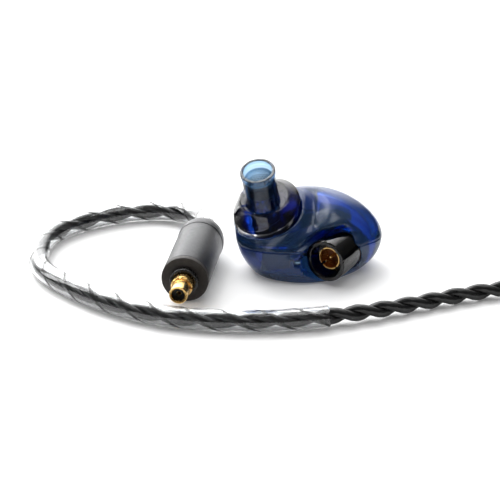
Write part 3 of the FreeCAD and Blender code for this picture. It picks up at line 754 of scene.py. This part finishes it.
def cut_box(piece, size, at):
    """Cut a small box out of a piece."""
    work = bmesh.new()
    bmesh.ops.create_cube(work, size=1.0)
    for vertex in work.verts:
        vertex.co = Vector([(a + b * c) * MM for a, b, c in zip(at, vertex.co, size)])
    mesh = bpy.data.meshes.new("cutter")
    work.to_mesh(mesh)
    work.free()
    cutter = bpy.data.objects.new("cutter", mesh)
    bpy.context.scene.collection.objects.link(cutter)
    boolean = piece.modifiers.new("slot", "BOOLEAN")
    boolean.operation = "DIFFERENCE"
    boolean.solver = "EXACT"
    boolean.object = cutter
    applied(piece)
    bpy.data.objects.remove(cutter)
    piece.data.set_sharp_from_angle(angle=math.radians(35))


def applied(piece):
    """Put the result of a piece's modifiers in its mesh."""
    bpy.context.view_layer.update()
    graph = bpy.context.evaluated_depsgraph_get()
    mesh = bpy.data.meshes.new_from_object(piece.evaluated_get(graph))
    piece.modifiers.clear()
    piece.data = mesh


def nozzle():
    profile = [
        (NOZZLE_BORE_R, -NOZZLE_LENGTH), (SPIGOT_R, -NOZZLE_LENGTH), (SPIGOT_R, -SHOULDER_DEPTH),
        (NOZZLE_BASE_R, -SHOULDER_DEPTH), (NOZZLE_R, -TAPER_DEPTH), (NOZZLE_R, -LIP_LENGTH - LIP_SLOPE),
        (LIP_R, -LIP_LENGTH), (LIP_R + LIP_SWELL, -LIP_LENGTH / 2), (LIP_R, 0),
        (GRILLE_R + FILM, 0), (GRILLE_R + FILM, -GRILLE_DEPTH), (NOZZLE_BORE_R, -GRILLE_DEPTH),
    ]
    piece = lathe("nozzle", profile, NOZZLE_TIP, NOZZLE_AXIS, edge=0.13, segments=144)
    dress(piece, "earpiece", "nozzle_blue", LOOKS["nozzle_blue"], "nozzle_tube")


def moved_to(piece, at, side, other, axis):
    """Carry a piece made on the origin to a point, with its axes along three unit vectors."""
    local = np.zeros(len(piece.data.vertices) * 3)
    piece.data.vertices.foreach_get("co", local)
    local = local.reshape(-1, 3) / MM
    world = np.array(at) + local @ np.stack([side, other, axis])
    piece.data.vertices.foreach_set("co", (world * MM).ravel())


def grille():
    """A domed disc with a fine hexagonal field of round holes."""
    sphere_r = (GRILLE_R ** 2 + GRILLE_RISE ** 2) / (2 * GRILLE_RISE)
    side, other = across(NOZZLE_AXIS)
    axis = unit(NOZZLE_AXIS)
    row_gap = HOLE_PITCH * math.sqrt(3) / 2

    def holes(x, y):
        row = np.round(y / row_gap)
        near = np.full(len(x), NO_HOLE_NEAR)
        for step in (-1, 0, 1):
            this_row = row + step
            shift = 0.5 * HOLE_PITCH * (this_row % 2)
            column = np.round((x - shift) / HOLE_PITCH)
            gap = np.hypot(x - shift - column * HOLE_PITCH, y - this_row * row_gap)
            centre = np.hypot(shift + column * HOLE_PITCH, this_row * row_gap)
            near = np.where((gap < near) & (centre < GRILLE_R - HOLE_FREE_RIM), gap, near)
        return near - HOLE_R

    def field(local):
        out = np.hypot(local[:, 0], local[:, 1])
        centre_z = GRILLE_RISE + GRILLE_T - sphere_r - GRILLE_DEPTH
        ball = np.sqrt(out ** 2 + (local[:, 2] - centre_z) ** 2)
        sheet = np.maximum(ball - sphere_r, sphere_r - GRILLE_T - ball)
        solid = np.maximum(np.maximum(sheet, out - GRILLE_R), -GRILLE_DEPTH - local[:, 2])
        return soft_max(solid, -holes(local[:, 0], local[:, 1]), 0.05)

    reach = GRILLE_R + 0.1
    low = (-reach, -reach, -GRILLE_DEPTH - 0.1)
    high = (reach, reach, -GRILLE_DEPTH + GRILLE_RISE + GRILLE_T + 0.15)
    piece = surface_net("grille", field, low, high, GRILLE_STEP)
    moved_to(piece, NOZZLE_TIP, side, other, axis)
    dress(piece, "earpiece", "grille_metal", LOOKS["grille_metal"], "nozzle_grille")


def boss():
    profile = [
        (SPRING_R + FILM, -BOSS_LENGTH), (BOSS_R, -BOSS_LENGTH), (BOSS_R, 0), (RECESS_R, 0),
        (RECESS_R, -RECESS_DEPTH), (SPRING_R + FILM, -RECESS_DEPTH),
    ]
    piece = lathe("boss", profile, SOCKET_FACE, SOCKET_AXIS, edge=0.22, segments=144)
    dress(piece, "earpiece", "boss_blue", LOOKS["boss_blue"], "socket_boss")


def socket_ring():
    """The gold spring ring in the socket, split four ways, with a coned mouth."""
    side, other = across(SOCKET_AXIS)
    axis = unit(SOCKET_AXIS)

    def field(local):
        out = np.hypot(local[:, 0], local[:, 1])
        depth = -local[:, 2]
        mouth_depth, mouth_wall = SPRING_MOUTH
        opening = SPRING_R - mouth_wall - SOCKET_BORE_R
        mouth = np.clip(1 - (depth - SOCKET_START) / mouth_depth, 0, 1) * opening
        wall = np.maximum(out - SPRING_R, SOCKET_BORE_R + mouth - out)
        wall = np.maximum(wall, np.maximum(SOCKET_START - depth, depth - SOCKET_END))
        diagonals = np.abs(local[:, 0] - local[:, 1]), np.abs(local[:, 0] + local[:, 1])
        gap = np.minimum(*diagonals) * math.sqrt(0.5)
        slot = np.maximum(gap - SOCKET_SLOT / 2, depth - SOCKET_START - SOCKET_SLOT_DEPTH)
        return soft_max(wall, -slot, 0.04)

    reach = SPRING_R + 0.12
    low = (-reach, -reach, -SOCKET_END - 0.12)
    high = (reach, reach, -SOCKET_START + 0.12)
    piece = surface_net("socket_spring", field, low, high, SPRING_STEP, 40.0)
    moved_to(piece, SOCKET_FACE, side, other, axis)
    dress(piece, "earpiece", "gold", LOOKS["gold"], "socket_ring")


# ---------------------------------------------------------------- cable
def coil_points():
    """Control points of the wound turns: lanes inwards and outwards by turns, layer on layer."""
    per_quarter = 4
    layer_quarters = 14
    lane = COIL_LANES - 1.0
    layer = 0.0
    spread = 1 / (0.75 + 0.25 * math.cos(math.pi / (2 * per_quarter)))
    points = []
    for quarter in range(COIL_LAYERS * layer_quarters):
        within = quarter % layer_quarters
        inwards = -1 if (quarter // layer_quarters) % 2 == 0 else 1
        lane_step = inwards if within in (3, 7, 11) else 0
        layer_step = 1 if within == 0 and quarter > 0 else 0
        for step in range(per_quarter):
            share = step / per_quarter
            angle = -math.pi / 2 + (quarter + share) * math.pi / 2
            radius = (COIL_R + (lane + lane_step * share - 1.5) * COIL_PITCH) * spread
            height = COIL_LIFT + (layer + layer_step * share + 0.5) * COIL_PITCH
            x = COIL_CENTRE[0] + radius * math.cos(angle)
            y = COIL_CENTRE[1] + radius * math.sin(angle)
            points.append((x, y, height))
        lane += lane_step
        layer += layer_step
    return points


def centreline():
    """Points of the whole cable's smooth line, in millimetres."""
    corners = ROUTE + coil_points()[1:] + TAIL
    curve = bpy.data.curves.new("cable_line", "CURVE")
    curve.dimensions = "3D"
    curve.resolution_u = 10
    spline = curve.splines.new("NURBS")
    spline.points.add(len(corners) - 1)
    for point, corner in zip(spline.points, corners):
        point.co = (*[value * MM for value in corner], 1)
    spline.order_u = 3
    spline.use_endpoint_u = True
    guide = bpy.data.objects.new("cable_line", curve)
    bpy.context.scene.collection.objects.link(guide)
    bpy.context.view_layer.update()
    graph = bpy.context.evaluated_depsgraph_get()
    mesh = bpy.data.meshes.new_from_object(guide.evaluated_get(graph))
    line = np.array([vertex.co for vertex in mesh.vertices]) / MM
    bpy.data.objects.remove(guide)
    bpy.data.meshes.remove(mesh)
    return line


def run_lengths(line):
    return np.concatenate([[0], np.cumsum(np.linalg.norm(np.diff(line, axis=0), axis=1))])


def at_lengths(line, lengths):
    """Points on a line at given distances along it."""
    along = run_lengths(line)
    return np.stack([np.interp(lengths, along, line[:, axis]) for axis in range(3)], 1)


def smooth_tangents(points):
    slopes = np.gradient(points, axis=0)
    return slopes / np.linalg.norm(slopes, axis=1, keepdims=True)


def nearest_length(line, target):
    along = run_lengths(line)
    return along[np.argmin(np.linalg.norm(line - np.array(target), axis=1))]


def strand_rings(centres, outward, radius, count):
    """Rings of a strand: round, with shallow lines along it."""
    tangents = smooth_tangents(centres)
    binormals = np.cross(tangents, outward)
    rings = []
    for spot in range(count):
        angle = 2 * math.pi * spot / count
        size = radius * (1 - STRAND_RIDGE * (0.5 - 0.5 * math.cos(STRAND_RIDGES * angle)))
        rings.append(centres + size * (math.cos(angle) * outward + math.sin(angle) * binormals))
    return np.stack(rings, 1)


def cable(line, sleeve_end, run_end):
    """The twisted pair: two ridged strands in one mesh, finer where the camera sees it."""
    total = run_lengths(line)[-1]
    fine = np.arange(0, run_end, 0.3)
    coarse = np.linspace(run_end, total, int((total - run_end) / 0.62))
    lengths = np.concatenate([fine, coarse])
    middles = at_lengths(line, lengths)
    tangents = smooth_tangents(middles)
    sides = np.cross(tangents, (0, 0, 1))
    sides /= np.linalg.norm(sides, axis=1, keepdims=True)
    ups = np.cross(sides, tangents)
    pitch = np.interp(lengths, [sleeve_end - 2, sleeve_end + 2], [TWIST_SLEEVE, TWIST_BARE])
    steps = np.diff(lengths, prepend=0) / pitch
    turn = -2 * math.pi * np.cumsum(steps)[:, None] + STRAND_START
    points = []
    faces = []
    count = STRAND_RIDGES * 4
    for strand in range(2):
        angle = turn + math.pi * strand
        outward = np.cos(angle) * sides + np.sin(angle) * ups
        rings = strand_rings(middles + outward * STRAND_OFFSET, outward, CORD_R - STRAND_OFFSET, count)
        base = len(points) * len(middles) * count
        quads = []
        for ring in range(len(middles) - 1):
            start = base + ring * count
            for spot in range(count):
                beside = (spot + 1) % count
                quads.append((start + spot, start + beside, start + count + beside, start + count + spot))
        quads.append([base + spot for spot in range(count)][::-1])
        quads.append([base + (len(middles) - 1) * count + spot for spot in range(count)])
        points.append(rings.reshape(-1, 3))
        faces += quads
    piece = finish_mesh("cable", np.concatenate(points), faces, sharp=None)
    dress(piece, "cable_arm", "cable_black", LOOKS["cable_black"], "cable_run", "cable_coil", "cable_tail")
    return piece


def sleeve(line, end):
    """The clear ear-hook tube, cut square where it ends."""
    lengths = np.linspace(0, end, int(end / 0.45))
    middles = at_lengths(line, lengths)
    tangents = smooth_tangents(middles)
    sides = np.cross(tangents, (0, 0, 1))
    sides /= np.linalg.norm(sides, axis=1, keepdims=True)
    ups = np.cross(sides, tangents)
    rings = []
    segments = 40
    turn = np.linspace(0, 2 * math.pi, segments, endpoint=False)[:, None]

    def ring(index, radius):
        return middles[index] + radius * (np.cos(turn) * sides[index] + np.sin(turn) * ups[index])

    for index in range(len(middles)):
        rings.append(ring(index, SLEEVE_R))
    for index in reversed(range(len(middles))):
        rings.append(ring(index, SLEEVE_GRIP_R))
    points, faces = bridged(rings)
    piece = finish_mesh("ear_hook_sleeve", points, faces)
    dress(piece, "cable_arm", "clear_sleeve", LOOKS["clear_sleeve"], "hook_sleeve")
    return piece


def coil_strap():
    """The strap round the coil: a rounded loop, a little thinner towards its two edges."""
    half = COIL_LANES * COIL_PITCH / 2
    low = COIL_LIFT
    high = COIL_LIFT + COIL_LAYERS * COIL_PITCH
    inner = [(COIL_R - half, low), (COIL_R + half, low), (COIL_R + half, high), (COIL_R - half, high)]
    loop = rounded(inner, STRAP_CORNER, 6)
    middle = np.array([COIL_R, (low + high) / 2])
    rings_in = []
    rings_out = []
    for degree in np.linspace(TIE_AT + 1, TIE_AT + TIE_ANGLE - 1, 13):
        angle = math.radians(degree)
        edge = abs(degree - TIE_AT - TIE_ANGLE / 2) / (TIE_ANGLE / 2)
        thick = TIE_T * (0.8 - 0.25 * edge ** 6)
        for rings, grow in ((rings_in, 0.03), (rings_out, thick)):
            ring = []
            for corner in loop:
                flat = corner + (corner - middle) / np.linalg.norm(corner - middle) * grow
                x = COIL_CENTRE[0] + flat[0] * math.cos(angle)
                y = COIL_CENTRE[1] + flat[0] * math.sin(angle)
                ring.append((x, y, max(flat[1], 0.02)))
            rings.append(np.array(ring))
    points, faces = bridged(rings_out + rings_in[::-1])
    piece = finish_mesh("coil_strap", points, faces)
    dress(piece, "cable_arm", "tie_black", LOOKS["tie_black"], "coil_tie")
    return piece


# ---------------------------------------------------------------- plug
PLUG_AXIS = (-math.sin(math.radians(PLUG_ANGLE)), -math.cos(math.radians(PLUG_ANGLE)), 0)


def plug_piece(name, slot, node_name, profile, edge, segments=120):
    piece = lathe(name, profile, PLUG_FACE, PLUG_AXIS, edge, segments)
    dress(piece, "cable_arm", slot, LOOKS[slot], node_name)
    return piece


def plug_pieces():
    made = []
    housing = [
        (PLUG_BORE_R, -HOUSING_END), (PLUG_R, -HOUSING_END), (PLUG_R, -DISC_T), (PLUG_BORE_R, -DISC_T),
    ]
    made.append(plug_piece("plug_body", "plug_grey", "plug_housing", housing, 0.07))
    disc = [(BARREL_ROOT_R + FILM, -DISC_T), (PLUG_R, -DISC_T), (PLUG_R, 0), (BARREL_ROOT_R + FILM, 0)]
    made.append(plug_piece("plug_front", "plug_black", "plug_disc", disc, 0.14))
    bore = SLEEVE_R + BOOT_PLAY
    nose = BOOT_END - HOUSING_END - BOOT_STRAIGHT
    last_angle = math.acos((bore + BOOT_RIM) / BOOT_R)
    cap = [(bore, -HOUSING_END), (BOOT_R, -HOUSING_END), (BOOT_R, -HOUSING_END - BOOT_STRAIGHT)]
    for angle in np.linspace(0, last_angle, 22)[1:]:
        height = -HOUSING_END - BOOT_STRAIGHT - nose * math.sin(angle) / math.sin(last_angle)
        cap.append((BOOT_R * math.cos(angle), height))
    cap.append((bore, -BOOT_END))
    made.append(plug_piece("plug_cap", "plug_grey", "plug_boot", cap, 0.05))
    ring = [(BARREL_ROOT_R + FILM, 0), (COLLAR_R, 0), (COLLAR_R, COLLAR_T), (BARREL_ROOT_R + FILM, COLLAR_T)]
    made.append(plug_piece("plug_ring", "plug_black", "plug_collar", ring, 0.3))
    made[-1].data.materials[0] = RING_LOOK
    groove_end = GROOVE_AT + GROOVE_W
    barrel = [
        (BARREL_BORE_R, -BARREL_DEPTH), (BARREL_ROOT_R, -BARREL_DEPTH), (BARREL_ROOT_R, GROOVE_AT),
        (GROOVE_R, GROOVE_AT), (GROOVE_R, groove_end), (BARREL_R, groove_end),
        (BARREL_R, BARREL_LENGTH), (BARREL_BORE_R, BARREL_LENGTH),
    ]
    made.append(plug_piece("plug_contact_barrel", "gold", "plug_barrel", barrel, 0.12))
    return made


def jack_pieces():
    boot = [
        (CORD_R + FILM, 0), (JACK_BOOT_R[0], 0), (JACK_BOOT_R[1], JACK_BOOT_END),
        (CORD_R + FILM, JACK_BOOT_END),
    ]
    made = [lathe("jack_relief", boot, JACK_AT, (0, 1, 0), 0.35)]
    dress(made[0], "cable_arm", "plug_black", LOOKS["plug_black"], "jack_boot")
    housing = [
        (0, JACK_BOOT_END), (JACK_HOUSING_R, JACK_BOOT_END), (JACK_HOUSING_R, JACK_HOUSING_END),
        (0, JACK_HOUSING_END),
    ]
    made.append(lathe("jack_body", housing, JACK_AT, (0, 1, 0), 0.4))
    dress(made[1], "cable_arm", "jack_grey", LOOKS["jack_grey"], "jack_housing")
    return made


# ---------------------------------------------------------------- stage
CAMERA_TARGET = (-8.45, 5.15, 0)
CAMERA_DISTANCE = 262.0
CAMERA_ELEVATION = 25.0
CAMERA_LENS = 126.0

LIGHT_TARGET = (0, 0, 5)
TABLE_HALF = 1500
TABLE_GLOW = (0.12, 0.75)     # painted glow: light that the table gives by itself, near the object and far from it
TABLE_GLOW_REACH = (0.03, 0.13)     # metres
WORLD_LIGHT = 0.08
WORLD_LIGHTS = [((-0.25, 0.8, 0.60), 0.60, 4.2), ((0, 0.1, 1), 0.4, 0.35)]     # direction, reach, strength


def camera():
    data = bpy.data.cameras.new("camera")
    data.lens = CAMERA_LENS
    data.sensor_width = 36
    data.clip_start = 0.01
    data.clip_end = 20
    piece = bpy.data.objects.new("camera", data)
    tilt = math.radians(CAMERA_ELEVATION)
    piece.location = [
        CAMERA_TARGET[0] * MM,
        (CAMERA_TARGET[1] - math.cos(tilt) * CAMERA_DISTANCE) * MM,
        (CAMERA_TARGET[2] + math.sin(tilt) * CAMERA_DISTANCE) * MM,
    ]
    piece.rotation_euler = (math.pi / 2 - tilt, 0, 0)
    bpy.context.scene.collection.objects.link(piece)
    bpy.context.scene.camera = piece


def softbox(name, at, size, power):
    data = bpy.data.lights.new(name, "AREA")
    data.shape = "RECTANGLE"
    data.size = size[0] * MM
    data.size_y = size[1] * MM
    data.energy = power
    piece = bpy.data.objects.new(name, data)
    piece.location = Vector(at) * MM
    aim = (Vector(LIGHT_TARGET) - Vector(at)).to_track_quat("-Z", "Y")
    piece.rotation_euler = aim.to_euler()
    bpy.context.scene.collection.objects.link(piece)


def stage():
    corners = [(x * TABLE_HALF, y * TABLE_HALF, 0) for x, y in ((-1, -1), (1, -1), (1, 1), (-1, 1))]
    table = finish_mesh("table", corners, [(0, 1, 2, 3)])
    look = new_look("table_white_painted_glow", roughness=0.7, specular_ior_level=0.1)
    set_colour(look, grain(look, 60.0), (0.86, 0.86, 0.86), (0.88, 0.88, 0.88))
    distance = node(look, "ShaderNodeVectorMath")
    distance.operation = "LENGTH"
    link(look, places(look), distance.inputs[0])
    # painted glow: the table emits light of its own, weak near the object and strong far from it
    glow = ranged(look, distance.outputs["Value"], *TABLE_GLOW, *TABLE_GLOW_REACH)
    shader_of(look).inputs["Emission Color"].default_value = (1, 1, 1, 1)
    link(look, glow, shader_of(look).inputs["Emission Strength"])
    table.data.materials.append(look)
    studio_world()
    bpy.context.scene.view_settings.view_transform = "Standard"
    softbox("key", (-80, 125, 300), (150, 150), 0.2)
    softbox("back_left", (-230, 260, 215), (240, 180), 0.8)
    softbox("overhead", (120, -40, 420), (200, 200), 0.3)
    softbox("left_strip", (-300, 60, 150), (60, 200), 0.2)
    softbox("spark", (-140, -60, 330), (40, 40), 0.07)


def studio_world():
    """A dim room with a bright white backdrop behind the object and a softer ceiling."""
    world = bpy.data.worlds.new("studio")
    world.use_nodes = True
    tree = world.node_tree
    direction = tree.nodes.new("ShaderNodeTexCoord").outputs["Generated"]
    total = None
    for aim, start, strength in WORLD_LIGHTS:
        dot = tree.nodes.new("ShaderNodeVectorMath")
        dot.operation = "DOT_PRODUCT"
        dot.inputs[1].default_value = unit(aim)
        tree.links.new(direction, dot.inputs[0])
        spread = tree.nodes.new("ShaderNodeMapRange")
        spread.interpolation_type = "SMOOTHSTEP"
        spread.inputs["From Min"].default_value = start
        spread.inputs["To Max"].default_value = strength
        tree.links.new(dot.outputs["Value"], spread.inputs["Value"])
        if total is None:
            total = spread.outputs["Result"]
            continue
        add = tree.nodes.new("ShaderNodeMath")
        tree.links.new(total, add.inputs[0])
        tree.links.new(spread.outputs["Result"], add.inputs[1])
        total = add.outputs["Value"]
    floor = tree.nodes.new("ShaderNodeMath")
    floor.inputs[1].default_value = WORLD_LIGHT
    tree.links.new(total, floor.inputs[0])
    tree.links.new(floor.outputs["Value"], tree.nodes["Background"].inputs["Strength"])
    tree.nodes["Background"].inputs["Color"].default_value = (1, 1, 1, 1)
    bpy.context.scene.world = world


def main():
    repaint_cad()
    shell_pieces()
    collar()
    nozzle()
    grille()
    boss()
    socket_ring()
    line = centreline()
    corner = np.array(ROUTE[SLEEVE_LAST_CORNER])
    following = np.array(ROUTE[SLEEVE_LAST_CORNER + 1])
    sleeve_end = nearest_length(line, corner + (following - corner) * SLEEVE_END)
    run_end = nearest_length(line[:len(ROUTE) * LINE_STEPS], ROUTE[-1])
    cord = cable(line, sleeve_end, run_end)
    on_cable = [sleeve(line, sleeve_end), coil_strap()]
    on_cable += plug_pieces() + jack_pieces()
    on_cable += [
        "plug_core", "plug_snap_ring", "plug_insulator", "plug_contact",
        "jack_insulator", "jack_sleeve", "jack_ring", "jack_tip",
    ]
    stage()
    camera()


main()
